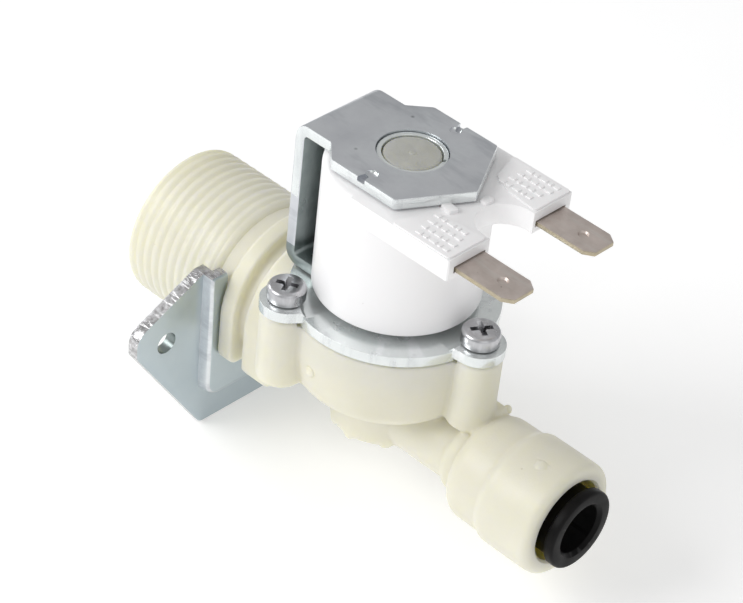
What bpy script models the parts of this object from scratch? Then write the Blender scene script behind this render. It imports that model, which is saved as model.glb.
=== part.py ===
"""Water inlet solenoid valve with a G3/4 threaded inlet and an 8 mm push-fit outlet.

Every dimension is in millimetres in the valve's own design frame: the coil axis is x = y = 0,
the inlet axis is z = 0 and water flows towards +X. The valve_frame empty carries that frame, so
that the bracket's foot stands on the world's z = 0 and the valve's length is centred on x = 0.
"""

import math

import bmesh
import bpy
from mathutils import Matrix, Vector

MM = 0.001
GAP = 0.3                      # clearance between separate pieces

# inlet branch, along X
INLET_RIM_X = -46.2
THREAD_R = 13.2                # G3/4 external thread, 26.4 mm over the crests
THREAD_ROOT_R = 12.6
THREAD_PITCH = 1.814
THREAD_END_X = -27.0
NECK_R = 11.6                  # neck in the two grooves beside the collar
COLLAR_X = (-24.3, -21.3)
COLLAR_HALF_WIDTH = 13.5
COLLAR_FOOT_Z = -8.7
BLOCK_X = (-18.9, -13.5)
INLET_BORE_R = 10.5
INLET_BORE_END_X = -28.6
INLET_PASSAGE_R = 6.2

# diaphragm cup, about Z
CUP_R = 16.4
CUP_TOP_Z = 11.1
CUP_FOOT_Z = -2.3
CHAMBER_R = 12.2
LEDGE_Z = 6.6
SEAT_R = (4.0, 5.4)
SEAT_Z = 4.6
WELL_R = 8.3
WELL_FOOT_Z = -11.8
SCREW_CIRCLE_R = 17.47
SCREW_ANGLES = (-120, 0, 120)
BOSS_R = 3.9
BOSS_Z = (-1.2, 11.8)

# outlet branch, along X
OUTLET_Z = -7.54
OUTLET_NECK_R = 5.53
FITTING_FACE_X = 38.9
FITTING_R = 9.72
SHOULDER_R = 9.05
SOCKET_R = 7.0
TUBE_R = 4.0                   # radius of the 8 mm tube that pushes in
COLLET_FACE_X = 41.6
COLLET_FLANGE_R = 6.74

# clamp plate and screws
PLATE_Z = (11.4, 13.2)
EAR_Z = (12.1, 13.9)
PLATE_R = 16.5
PLATE_BORE_R = 7.6
EAR_R = 4.1
SCREW_HEAD_R = 3.05
SCREW_HEAD_Z = (14.1, 16.6)
SCREW_SHANK_R = 1.8

# coil and yoke
SHEET = 1.9                    # yoke strip thickness
YOKE_TOP_Z = 39.27
YOKE_FOOT_Z = 13.5
YOKE_BACK_X = -16.4
YOKE_HALF_WIDTH = 8.0
YOKE_BORE_R = 5.56
COIL_R = 13.2
COIL_Z = (14.45, 37.07)
BLOCK_HALF_WIDTH = 13.4
HORN_END_X = 20.2
HORN_FOOT_Z = 33.4
BLADE_Y = 8.8
BLADE_Z = (34.47, 35.27)
BLADE_HALF_WIDTH = 3.15
BLADE_TIP_X = 30.7

# core tube and moving parts
TUBE_OUTER_R = 4.5
TUBE_BORE_R = 3.7
TUBE_TOP_Z = 38.9
TUBE_CEILING_Z = 37.5
PLUNGER_R = 3.5
PLUNGER_Z = (9.1, 31.0)
SPRING_POCKET = (2.6, 3.0)     # radius and depth in the plunger's top

# bracket, a sheet across the inlet
BRACKET_SHEET = 2.0
BRACKET_X = -26.6              # front face of the flange
BRACKET_RAISE = 2.2
BRACKET_TOP_Z = 7.7
BRACKET_FOOT_Z = -23.3
BRACKET_HOLE = (22.4, -2.5, 1.9)

FINISHES = {
    "nylon": ((0.80, 0.77, 0.62), 0.42, 0.0),
    "grey_nylon": ((0.45, 0.44, 0.40), 0.35, 0.0),
    "white_plastic": ((0.90, 0.90, 0.90), 0.30, 0.0),
    "black_plastic": ((0.015, 0.015, 0.017), 0.30, 0.0),
    "zinc": ((0.62, 0.66, 0.70), 0.28, 1.0),
    "steel": ((0.55, 0.55, 0.56), 0.25, 1.0),
    "tinned_brass": ((0.48, 0.44, 0.39), 0.35, 1.0),
    "copper": ((0.72, 0.32, 0.14), 0.35, 1.0),
    "rubber": ((0.02, 0.02, 0.02), 0.70, 0.0),
    "blue_plastic": ((0.10, 0.22, 0.50), 0.45, 0.0),
}


def clear_scene():
    for old in list(bpy.data.objects):
        bpy.data.objects.remove(old, do_unlink=True)


def make_frame():
    frame = bpy.data.objects.new("valve_frame", None)
    frame.location = Vector((-(INLET_RIM_X + COLLET_FACE_X) / 2, 0, -BRACKET_FOOT_Z)) * MM
    bpy.context.collection.objects.link(frame)
    return frame


def paint(obj, kind):
    colour, roughness, metallic = FINISHES[kind]
    material = bpy.data.materials.new(obj.name)
    material.use_nodes = True
    shader = material.node_tree.nodes["Principled BSDF"]
    shader.inputs["Base Color"].default_value = (*colour, 1.0)
    shader.inputs["Roughness"].default_value = roughness
    shader.inputs["Metallic"].default_value = metallic
    obj.data.materials.append(material)


def place(name, data, kind, centre):
    """Links an object under the valve frame; one with no finish is a hidden tool for a Boolean."""
    obj = bpy.data.objects.new(name, data)
    bpy.context.collection.objects.link(obj)
    obj.parent = FRAME
    obj.location = Vector(centre) * MM
    if kind:
        paint(obj, kind)
    else:
        obj.hide_render = True
        obj.display_type = "WIRE"
    return obj


def finish_mesh(name, bm, kind, centre=(0, 0, 0)):
    bmesh.ops.remove_doubles(bm, verts=bm.verts, dist=1e-7)
    bmesh.ops.dissolve_limit(bm, angle_limit=math.radians(0.1), verts=bm.verts, edges=bm.edges)
    bmesh.ops.recalc_face_normals(bm, faces=bm.faces)
    mesh = bpy.data.meshes.new(name)
    bm.to_mesh(mesh)
    bm.free()
    mesh.shade_smooth()
    mesh.set_sharp_from_angle(angle=math.radians(35))
    return place(name, mesh, kind, centre)


def arc(cx, cy, radius, start, end, steps):
    """Points on an arc, angles in degrees."""
    angles = [math.radians(start + (end - start) * i / steps) for i in range(steps + 1)]
    return [(cx + radius * math.cos(a), cy + radius * math.sin(a)) for a in angles]


def rounded(corners, steps=4):
    """Outline through (u, v, radius) corners with each corner rounded."""
    outline = []
    for i, (u, v, radius) in enumerate(corners):
        here = Vector((u, v))
        back = (Vector(corners[i - 1][:2]) - here).normalized()
        ahead = (Vector(corners[(i + 1) % len(corners)][:2]) - here).normalized()
        if radius == 0:
            outline.append((u, v))
            continue
        half = back.angle(ahead) / 2
        centre = here + (back + ahead).normalized() * radius / math.sin(half)
        first = here + back * radius / math.tan(half) - centre
        last = here + ahead * radius / math.tan(half) - centre
        turn = first.angle_signed(last)
        for k in range(steps + 1):
            point = centre + Matrix.Rotation(-turn * k / steps, 2) @ first
            outline.append((point.x, point.y))
    return outline


def lathe(name, profile, kind=None, axis="Z", centre=(0, 0, 0), steps=32):
    """Solid turned about an axis through centre; the profile holds (along, radius) points."""
    bm = bmesh.new()
    verts = [bm.verts.new((radius * MM, 0, along * MM)) for along, radius in profile]
    edges = [bm.edges.new(pair) for pair in zip(verts, verts[1:])]
    if profile[0][1] > 0 and profile[-1][1] > 0:
        edges.append(bm.edges.new((verts[-1], verts[0])))
    bmesh.ops.spin(bm, geom=verts + edges, axis=(0, 0, 1), cent=(0, 0, 0),
                   angle=2 * math.pi, steps=steps, use_merge=True)
    if axis == "X":
        bmesh.ops.transform(bm, matrix=Matrix.Rotation(math.pi / 2, 4, "Y"), verts=bm.verts)
    return finish_mesh(name, bm, kind, centre)


def prism(name, outline, low, high, kind=None, axis="Z", centre=(0, 0, 0)):
    """Outline carried from low to high: an (x, y) outline along Z, a (y, z) outline along X, or
    an (x, z) outline along Y."""
    order = {"Z": lambda u, v, w: (u, v, w), "X": lambda u, v, w: (w, u, v),
             "Y": lambda u, v, w: (u, w, v)}[axis]
    bm = bmesh.new()
    ends = [[bm.verts.new(Vector(order(u, v, w)) * MM) for u, v in outline] for w in (low, high)]
    for ring in ends:
        bm.faces.new(ring)
    for i in range(len(outline)):
        bm.faces.new((ends[0][i - 1], ends[0][i], ends[1][i], ends[1][i - 1]))
    return finish_mesh(name, bm, kind, centre)


def box(name, low, high):
    """Hidden block between two corners, for a Boolean."""
    outline = [(low[0], low[1]), (high[0], low[1]), (high[0], high[1]), (low[0], high[1])]
    return prism(name, outline, low[2], high[2])


def rod(name, radius, low, high, axis="Z", centre=(0, 0, 0), steps=32):
    """Hidden plain cylinder, for a Boolean."""
    return lathe(name, [(low, 0), (low, radius), (high, radius), (high, 0)], None, axis, centre,
                 steps)


def boolean(obj, operation, *tools):
    for tool in tools:
        modifier = obj.modifiers.new(tool.name, "BOOLEAN")
        modifier.operation = operation
        modifier.solver = "EXACT"
        modifier.object = tool


def polar(radius, degrees):
    angle = math.radians(degrees)
    return radius * math.cos(angle), radius * math.sin(angle)


def thread_profile():
    """Shallow crests and roots along the inlet, from the rim to the first groove."""
    count = int((THREAD_END_X - INLET_RIM_X - 1.0) / THREAD_PITCH)
    profile = [(INLET_RIM_X, 0), (INLET_RIM_X, THREAD_ROOT_R - 0.2)]
    for i in range(count):
        start = INLET_RIM_X + 0.8 + i * THREAD_PITCH
        profile += [(start, THREAD_ROOT_R), (start + THREAD_PITCH / 2, THREAD_R)]
    return profile + [(THREAD_END_X - 0.4, THREAD_ROOT_R), (THREAD_END_X, THREAD_ROOT_R - 0.4)]


def collar_outline():
    """Round over the top, straight sides and a flat foot; the same section as the block."""
    foot = rounded([(-COLLAR_HALF_WIDTH, 0, 0), (-COLLAR_HALF_WIDTH, COLLAR_FOOT_Z, 2.0),
                    (COLLAR_HALF_WIDTH, COLLAR_FOOT_Z, 2.0), (COLLAR_HALF_WIDTH, 0, 0)])
    return foot + arc(0, 0, COLLAR_HALF_WIDTH, 0, 180, 16)[1:-1]


def make_body():
    neck_end = -17.2               # inside the block, clear of the clamp plate
    inlet = thread_profile() + [(THREAD_END_X, NECK_R), (neck_end, NECK_R), (neck_end, 0)]
    body = lathe("valve_body", inlet, "nylon", "X", steps=32)
    collar = prism("body_collar", collar_outline(), *COLLAR_X, axis="X")
    block = prism("body_block", collar_outline(), *BLOCK_X, axis="X")
    plate_relief = rod("block_relief", PLATE_R + GAP + 0.1, CUP_TOP_Z - 0.25, CUP_TOP_Z + 6)
    arm_relief = box("block_arm_relief", (YOKE_BACK_X - 0.6, -9, YOKE_FOOT_Z - 0.6), (0, 9, 20))
    boolean(block, "DIFFERENCE", plate_relief, arm_relief)

    cup = lathe("body_cup", [(WELL_FOOT_Z, 0), (WELL_FOOT_Z, WELL_R - 1.2)]
                + arc(WELL_FOOT_Z + 1.2, WELL_R - 1.2, 1.2, 180, 90, 3)[1:]
                + [(CUP_FOOT_Z, WELL_R), (CUP_FOOT_Z, 13.2), (CUP_FOOT_Z + 0.5, 14.5),
                   (0, 15.4), (3.0, 16.1), (6.0, CUP_R), (CUP_TOP_Z, CUP_R), (CUP_TOP_Z, 0)],
                steps=40)
    bosses = []
    for number, degrees in enumerate(SCREW_ANGLES, 1):
        x, y = polar(SCREW_CIRCLE_R, degrees)
        profile = [(BOSS_Z[0], 0), (BOSS_Z[0], BOSS_R - 1.2)]
        profile += arc(BOSS_Z[0] + 1.2, BOSS_R - 1.2, 1.2, 180, 90, 2)[1:]
        profile += [(BOSS_Z[1], BOSS_R), (BOSS_Z[1], 0)]
        boss = lathe(f"body_boss_{number}", profile, None, "Z", (x, y, 0), 20)
        boolean(boss, "DIFFERENCE", plate_relief)
        bosses.append(boss)

    shoulder = arc(23.4, SHOULDER_R - 2.9, 2.9, 180, 90, 4)
    nose = arc(FITTING_FACE_X - 1.2, FITTING_R - 1.2, 1.2, 90, 0, 4)
    outlet = lathe("body_outlet", [(2.0, 0), (2.0, OUTLET_NECK_R), (17.6, OUTLET_NECK_R),
                                   (18.4, 6.4), (20.3, 6.4)] + shoulder[1:]
                   + [(27.8, SHOULDER_R), (28.9, FITTING_R)] + nose + [(FITTING_FACE_X, 0)],
                   None, "X", (0, 0, OUTLET_Z), 36)
    web = box("body_web", (14.0, 1.6, OUTLET_Z + 1), (21.5, 4.4, 1.4))
    boolean(body, "UNION", collar, block, cup, *bosses, outlet, web)

    inlet_bore = lathe("inlet_bore", [(INLET_RIM_X - 1, 0), (INLET_RIM_X - 1, INLET_BORE_R),
                                      (INLET_BORE_END_X, INLET_BORE_R),
                                      (INLET_BORE_END_X, INLET_PASSAGE_R),
                                      (-18.6, INLET_PASSAGE_R), (-18.6, 0)], axis="X")
    feed = rod("inlet_feed", 2.9, -20, -11.4, "X", (0, 0, 3.4), 16)
    chamber = lathe("chamber", [(CUP_TOP_Z + 1, 0), (CUP_TOP_Z + 1, 15.0), (LEDGE_Z, 15.0),
                                (LEDGE_Z, CHAMBER_R), (0.2, CHAMBER_R), (0.2, SEAT_R[1]),
                                (SEAT_Z, SEAT_R[1]), (SEAT_Z, 0)])
    seat_bore = rod("seat_bore", SEAT_R[0], -9.8, SEAT_Z + 1, steps=20)
    socket = lathe("outlet_socket", [(1.0, 0), (1.0, 2.8), (20.8, 2.8), (20.8, TUBE_R + 0.2),
                                     (25.8, TUBE_R + 0.2), (25.8, 6.1), (31.0, 6.1),
                                     (31.0, SOCKET_R), (FITTING_FACE_X + 1, SOCKET_R),
                                     (FITTING_FACE_X + 1, 0)], None, "X", (0, 0, OUTLET_Z), 28)
    pilots = [rod(f"screw_pilot_{n}", SCREW_SHANK_R + GAP, 1.5, BOSS_Z[1] + 1, "Z",
                  (*polar(SCREW_CIRCLE_R, degrees), 0), 12)
              for n, degrees in enumerate(SCREW_ANGLES, 1)]
    boolean(body, "DIFFERENCE", inlet_bore, feed, chamber, seat_bore, socket, *pilots)


def make_inlet_parts():
    wall = 0.8
    basket = lathe("inlet_filter", [(-41.8, 0), (-41.8, 1.4), (-40.2, 1.4), (-40.2, 6.0),
                                    (-32.1, 8.6), (-32.1, 10.1), (-30.9, 10.1),
                                    (-30.9, 8.6 - wall), (-40.2 + wall, 6.0 - wall),
                                    (-40.2 + wall, 0)], "blue_plastic", "X", steps=24)
    windows = []
    for i in range(8):
        slot = box(f"filter_window_{i}", (-39.0, -1.3, 4.2), (-33.4, 1.3, 11))
        slot.rotation_euler = (math.radians(45 * i), 0, 0)
        windows.append(slot)
    boolean(basket, "DIFFERENCE", *windows)
    lathe("flow_regulator", [(-30.5, 10.1), (-30.5, 3.4), (-29.6, 2.6), (-28.95, 2.6),
                             (-28.95, 10.1)], "rubber", "X", steps=28)


def make_bracket():
    top, foot = BRACKET_TOP_Z, BRACKET_FOOT_Z
    back_x = BRACKET_X - BRACKET_SHEET
    front_x = BRACKET_X + BRACKET_RAISE
    outline = rounded([(-28.7, 1.2, 3.0), (-28.6, -2.7, 1.5), (-14.0, foot, 1.5),
                       (14.0, foot, 1.5), (28.6, -2.7, 1.5), (28.7, 1.2, 3.0),
                       (15.3, top, 1.2), (-15.3, top, 1.2)])
    bracket = prism("mounting_bracket", outline, back_x, BRACKET_X, "zinc", "X")
    half, low, wall = 15.2, -17.2, 1.7
    raised = prism("bracket_raised", rounded([(-half, top, 0), (-half, low, 5), (half, low, 5),
                                              (half, top, 0)]), back_x, front_x, None, "X")
    inner, inner_low = half - wall, low + wall
    recess = prism("bracket_recess", rounded([(-inner, top + 1, 0), (-inner, inner_low, 3.5),
                                              (inner, inner_low, 3.5), (inner, top + 1, 0)]),
                   back_x - 1, front_x - BRACKET_SHEET, None, "X")
    mouth_r = NECK_R + GAP + 0.1
    mouth = prism("bracket_mouth", [(mouth_r, top + 1), (-mouth_r, top + 1)]
                  + arc(0, 0, mouth_r, 180, 360, 20), back_x - 1, front_x + 1, None, "X")
    y, z, radius = BRACKET_HOLE
    holes = [rod(f"bracket_hole_{side}", radius, back_x - 1, BRACKET_X + 1, "X",
                 (0, sign * y, z), 24) for side, sign in (("left", -1), ("right", 1))]
    boolean(bracket, "UNION", raised)
    boolean(bracket, "DIFFERENCE", recess, mouth, *holes)


def make_diaphragm():
    """Rubber sheet with one rolled fold, its outer bead on the cup's ledge."""
    low = SEAT_Z + GAP
    lathe("diaphragm", [(low, 3.3), (low, 6.6), (low - 0.8, 7.6), (low - 1.2, 9.0),
                        (low - 0.6, 10.4), (6.9, 11.4), (6.9, 14.7), (8.7, 14.7), (8.7, 12.2),
                        (7.8, 11.2), (low + 0.9, 10.0), (low + 0.3, 9.0), (low + 0.8, 8.1),
                        (low + 1.6, 7.0), (low + 1.6, 3.3)], "rubber", steps=28)
    lathe("diaphragm_insert", [(4.0, 0.5), (4.0, 2.4), (4.6, 3.0), (6.8, 3.0), (6.8, 7.4),
                               (7.6, 7.4), (7.6, 2.4), (8.4, 1.4), (8.4, 0.5)],
          "white_plastic", steps=20)


def make_core_tube():
    """Bonnet and guide tube in one moulding, closed at its top end."""
    lathe("core_tube", [(TUBE_TOP_Z, 0), (TUBE_TOP_Z, TUBE_OUTER_R - 0.5),
                        (TUBE_TOP_Z - 0.5, TUBE_OUTER_R), (13.0, TUBE_OUTER_R), (13.0, 7.0),
                        (11.1, 7.0), (11.1, 14.7), (9.0, 14.7), (9.0, 9.4), (10.0, 9.2),
                        (10.0, TUBE_BORE_R), (TUBE_CEILING_Z, TUBE_BORE_R), (TUBE_CEILING_Z, 0)],
          "grey_nylon", steps=28)


def make_plunger():
    low, high = PLUNGER_Z
    pocket_r, depth = SPRING_POCKET
    lathe("plunger", [(low + 1.5, 0), (low + 1.5, 2.3), (low, 2.3), (low, PLUNGER_R),
                      (high, PLUNGER_R), (high, pocket_r), (high - depth, pocket_r),
                      (high - depth, 0)], "steel", steps=20)
    lathe("plunger_seal", [(low - 0.4, 0), (low - 0.4, 2.0), (low + 1.2, 2.0), (low + 1.2, 0)],
          "rubber", steps=16)


def make_spring():
    """Compression spring from the plunger's pocket to the closed end of the core tube."""
    wire, radius, turns = 0.35, 1.9, 5
    low = PLUNGER_Z[1] - SPRING_POCKET[1] + wire + 0.05
    high = TUBE_CEILING_Z - wire - 0.05
    per_turn = 9
    curve = bpy.data.curves.new("plunger_spring", "CURVE")
    curve.dimensions = "3D"
    curve.bevel_depth = wire * MM
    curve.bevel_resolution = 0
    curve.use_fill_caps = True
    curve.resolution_u = 1
    curve.render_resolution_u = 0
    spline = curve.splines.new("POLY")
    count = turns * per_turn
    spline.points.add(count)
    for i in range(count + 1):
        x, y = polar(radius, 360 * i / per_turn)
        spline.points[i].co = (x * MM, y * MM, (low + (high - low) * i / count) * MM, 1)
    place("plunger_spring", curve, "steel", (0, 0, 0))


def make_clamp():
    low, high = PLATE_Z
    plate = lathe("clamp_plate", [(low, PLATE_BORE_R), (low, PLATE_R - 0.2), (low + 0.2, PLATE_R),
                                  (high - 0.4, PLATE_R), (high, PLATE_R - 0.4),
                                  (high, PLATE_BORE_R)], "zinc", steps=48)
    outline = [(13.5, -5.9), (15.5, -5.5)] + arc(SCREW_CIRCLE_R, 0, EAR_R, -82, 82, 12)
    outline += [(15.5, 5.5), (13.5, 5.9)]
    ears, holes = [], []
    for number, degrees in enumerate(SCREW_ANGLES, 1):
        ear = prism(f"plate_ear_{number}", outline, EAR_Z[0], EAR_Z[1])
        ear.rotation_euler = (0, 0, math.radians(degrees))
        ears.append(ear)
        holes.append(rod(f"plate_hole_{number}", SCREW_SHANK_R + GAP, low - 1, EAR_Z[1] + 1, "Z",
                         (*polar(SCREW_CIRCLE_R, degrees), 0), 16))
    boolean(plate, "UNION", *ears)
    boolean(plate, "DIFFERENCE", *holes)


def make_screws():
    low, high = SCREW_HEAD_Z
    profile = [(3.0, 0), (3.0, 1.2), (4.2, SCREW_SHANK_R), (low, SCREW_SHANK_R),
               (low, SCREW_HEAD_R), (high - 0.8, SCREW_HEAD_R)]
    profile += arc(high - 0.8, SCREW_HEAD_R - 0.8, 0.8, 90, 0, 2)[1:] + [(high, 0)]
    for number, degrees in enumerate(SCREW_ANGLES, 1):
        centre = (*polar(SCREW_CIRCLE_R, degrees), 0)
        screw = lathe(f"clamp_screw_{number}", profile, "steel", "Z", centre, 18)
        arms = [box(f"screw_slot_{number}_{i}", (-1.75, -0.5, high - 1.5), (1.75, 0.5, high + 1))
                for i in range(2)]
        for arm, turn in zip(arms, (20, 110)):
            arm.location = Vector(centre) * MM
            arm.rotation_euler = (0, 0, math.radians(turn + degrees))
        boolean(screw, "DIFFERENCE", *arms)


def make_coil():
    low, high = COIL_Z
    shell = lathe("coil_shell", [(low, 0), (low, COIL_R - 0.3), (low + 0.3, COIL_R),
                                 (high - 0.6, COIL_R), (high, COIL_R - 0.6), (high, 0)],
                  "white_plastic", steps=48)
    half = BLOCK_HALF_WIDTH
    deck = prism("coil_deck", rounded([(0, -half, 0), (HORN_END_X, -half, 0.8),
                                       (HORN_END_X, half, 0.8), (0, half, 0)]), HORN_FOOT_Z, high)
    notch = prism("deck_notch", [(HORN_END_X + 1, -4.9), (HORN_END_X + 1, 4.9)]
                  + arc(19.4, 0, 4.9, 90, 270, 20), HORN_FOOT_Z - 3, high + 1)
    cavity = rod("coil_cavity", 12.2, low - 1, high - 1.6, steps=36)
    bore = rod("coil_bore", YOKE_BORE_R + 0.1, low, high + 1)
    slot = box("coil_arm_slot", (-20, -YOKE_HALF_WIDTH - GAP, low - 1),
               (-6, YOKE_HALF_WIDTH + GAP, YOKE_FOOT_Z + SHEET + GAP))
    blades = [box(f"blade_slot_{side}", (13.6, sign * BLADE_Y - BLADE_HALF_WIDTH - GAP,
                                         BLADE_Z[0] - GAP),
                  (HORN_END_X + 1, sign * BLADE_Y + BLADE_HALF_WIDTH + GAP, BLADE_Z[1] + GAP))
              for side, sign in (("left", -1), ("right", 1))]
    boolean(shell, "UNION", deck)
    boolean(shell, "DIFFERENCE", notch, cavity, bore, slot, *blades)

    base, top = YOKE_FOOT_Z + SHEET + GAP, high - 1.6 - GAP
    tube_r = (5.7, 6.5)
    lathe("coil_bobbin", [(base, tube_r[0]), (base, 11.8), (base + 1.0, 11.8),
                          (base + 1.0, tube_r[1]), (top - 1.0, tube_r[1]), (top - 1.0, 11.8),
                          (top, 11.8), (top, tube_r[0])], "black_plastic", steps=28)
    lathe("coil_winding", [(base + 1.0 + GAP, tube_r[1] + GAP), (base + 1.0 + GAP, 11.3),
                           (top - 1.0 - GAP, 11.3), (top - 1.0 - GAP, tube_r[1] + GAP)],
          "copper", steps=28)
    sleeve = (TUBE_OUTER_R + 0.15, YOKE_BORE_R - 0.12)
    for name, ends in (("upper_flux_sleeve", (28.0, YOKE_TOP_Z - 0.3)),
                       ("lower_flux_sleeve", (YOKE_FOOT_Z, 23.5))):
        lathe(name, [(ends[0], sleeve[0]), (ends[0], sleeve[1]), (ends[1], sleeve[1]),
                     (ends[1], sleeve[0])], "zinc", steps=28)


def make_yoke():
    """Strip bent into a C round the coil, its top plate widened to an obtuse point."""
    back, top, foot = YOKE_BACK_X, YOKE_TOP_Z, YOKE_FOOT_Z
    outer, inner = 2.6, 2.6 - SHEET
    section = [(-8.0, top)] + arc(back + outer, top - outer, outer, 90, 180, 5)
    section += arc(back + outer, foot + outer, outer, 180, 270, 5)
    section += [(-4.0, foot), (-4.0, foot + SHEET)]
    section += arc(back + outer, foot + outer, inner, 270, 180, 3)
    section += arc(back + outer, top - outer, inner, 180, 90, 3) + [(-8.0, top - SHEET)]
    half = YOKE_HALF_WIDTH
    yoke = prism("yoke", section, -half, half, "zinc", "Y")
    plate = prism("yoke_plate", [(-10.0, -half), (-9.0, -half), (-6.0, -11.1), (7.0, -11.1),
                                 (13.1, 0), (7.0, 11.1), (-6.0, 11.1), (-9.0, half),
                                 (-10.0, half)], top - SHEET, top)
    arm = prism("yoke_lower_arm", [(-6.0, -half), (0, -half)] + arc(0, 0, half, -90, 90, 16)[1:]
                + [(-6.0, half)], foot, foot + SHEET)
    bore = rod("yoke_bore", YOKE_BORE_R, foot - 1, top + 1)
    notches = [prism(f"yoke_notch_{side}", [(-0.9, sign * 11.6), (0.7, sign * 11.6),
                                            (0.3, sign * 8.6), (-0.2, sign * 8.6)],
                     top - 0.9, top + 1) for side, sign in (("left", -1), ("right", 1))]
    boolean(yoke, "UNION", plate, arm)
    boolean(yoke, "DIFFERENCE", bore, *notches)


def make_terminals():
    for side, sign in (("left", -1), ("right", 1)):
        y, half = sign * BLADE_Y, BLADE_HALF_WIDTH
        tip = BLADE_TIP_X
        blade = prism(f"terminal_{side}", [(14.0, y - half), (tip - 1.6, y - half),
                                           (tip, y - half + 1.1), (tip, y + half - 1.1),
                                           (tip - 1.6, y + half), (14.0, y + half)],
                      *BLADE_Z, kind="tinned_brass")
        hole = rod(f"terminal_hole_{side}", 0.8, BLADE_Z[0] - 1, BLADE_Z[1] + 1, "Z",
                   (tip - 4.1, y, 0), 16)
        boolean(blade, "DIFFERENCE", hole)


def make_push_fit():
    centre = (0, 0, OUTLET_Z)
    face, bore = COLLET_FACE_X, TUBE_R + 0.2
    lathe("release_collet", [(34.0, bore), (34.0, 5.4), (34.6, 5.9), (face - 1.7, 5.9),
                             (face - 1.7, COLLET_FLANGE_R - 0.4), (face - 1.3, COLLET_FLANGE_R),
                             (face - 0.5, COLLET_FLANGE_R), (face, COLLET_FLANGE_R - 0.5),
                             (face, bore + 0.4), (face - 0.4, bore)], "black_plastic", "X",
          centre, 32)
    lathe("tube_oring", [(along, radius) for along, radius in
                         arc(27.1, 5.0, 0.9, 0, 300, 5)], "rubber", "X", centre, 20)
    lathe("spacer_ring", [(28.4, 4.3), (28.4, 5.8), (30.6, 5.8), (30.6, 4.3)], "white_plastic",
          "X", centre, 20)
    lathe("grab_ring", [(31.3, 6.6), (31.3, 5.2), (31.9, 4.3), (32.2, 4.5), (31.7, 5.4),
                        (31.7, 6.6)], "steel", "X", centre, 24)


clear_scene()
FRAME = make_frame()
make_body()
make_inlet_parts()
make_bracket()
make_diaphragm()
make_core_tube()
make_plunger()
make_spring()
make_clamp()
make_screws()
make_coil()
make_yoke()
make_terminals()
make_push_fit()
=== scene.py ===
import math

import bpy
from mathutils import Matrix, Vector


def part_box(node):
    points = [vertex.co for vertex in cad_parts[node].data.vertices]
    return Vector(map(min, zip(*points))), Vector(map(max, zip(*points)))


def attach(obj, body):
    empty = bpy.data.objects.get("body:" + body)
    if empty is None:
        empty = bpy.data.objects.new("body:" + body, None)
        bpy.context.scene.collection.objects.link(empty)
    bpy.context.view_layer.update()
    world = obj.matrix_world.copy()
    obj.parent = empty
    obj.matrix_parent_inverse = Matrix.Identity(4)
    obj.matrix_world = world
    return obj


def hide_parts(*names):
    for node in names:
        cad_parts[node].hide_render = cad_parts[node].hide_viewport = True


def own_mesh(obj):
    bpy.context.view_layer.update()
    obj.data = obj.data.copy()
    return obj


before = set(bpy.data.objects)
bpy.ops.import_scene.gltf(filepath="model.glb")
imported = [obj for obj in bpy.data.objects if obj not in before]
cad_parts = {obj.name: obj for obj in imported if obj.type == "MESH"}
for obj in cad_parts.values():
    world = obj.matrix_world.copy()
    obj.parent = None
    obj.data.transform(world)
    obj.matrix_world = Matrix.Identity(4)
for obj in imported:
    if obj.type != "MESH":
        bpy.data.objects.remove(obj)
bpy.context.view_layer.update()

mm = 0.001
tubeLow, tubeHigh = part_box("core_tube")
filterLow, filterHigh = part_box("inlet_filter")
# where the coil's axis and the inlet's axis cross; every size below is in millimetres from here
valveOrigin = Vector(((tubeLow.x + tubeHigh.x) / 2, 0, (filterLow.z + filterHigh.z) / 2))


def deselect():
    bpy.ops.object.select_all(action="DESELECT")


def choose(piece):
    deselect()
    piece.select_set(True)
    bpy.context.view_layer.objects.active = piece


def openMesh(piece):
    choose(piece)
    bpy.ops.object.mode_set(mode="EDIT")
    bpy.ops.mesh.select_all(action="SELECT")


def closeMesh(piece, weld=True):
    bpy.ops.mesh.select_all(action="SELECT")
    if weld:
        bpy.ops.mesh.remove_doubles(threshold=0.000002)
        bpy.ops.mesh.normals_make_consistent(inside=False)
    bpy.ops.object.mode_set(mode="OBJECT")
    return piece


# selects vertices that pass a test of their place in millimetres; left in edit mode
def pickVertices(piece, test):
    bpy.ops.mesh.select_all(action="DESELECT")
    bpy.ops.mesh.select_mode(type="VERT")
    bpy.ops.object.mode_set(mode="OBJECT")
    for vertex in piece.data.vertices:
        vertex.select = test(vertex.co / mm)
    bpy.ops.object.mode_set(mode="EDIT")


# outline or profile through (u, v, radius) corners, each corner rounded by its radius
def softCorners(corners, closed=True, steps=4):
    points = []
    for i, corner in enumerate(corners):
        here = Vector(corner[:2])
        radius = corner[2] if len(corner) > 2 else 0
        if radius == 0 or (not closed and i in (0, len(corners) - 1)):
            points.append(here)
            continue
        back = (Vector(corners[i - 1][:2]) - here).normalized()
        ahead = (Vector(corners[(i + 1) % len(corners)][:2]) - here).normalized()
        half = back.angle(ahead) / 2
        centre = here + (back + ahead).normalized() * radius / math.sin(half)
        first = here + back * radius / math.tan(half) - centre
        last = here + ahead * radius / math.tan(half) - centre
        turn = first.angle_signed(last)
        points += [centre + Matrix.Rotation(-turn * k / steps, 2) @ first for k in range(steps + 1)]
    return points


def arcPoints(cx, cy, radius, start, end, steps):
    angles = [math.radians(start + (end - start) * k / steps) for k in range(steps + 1)]
    return [(cx + radius * math.cos(a), cy + radius * math.sin(a)) for a in angles]


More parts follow.
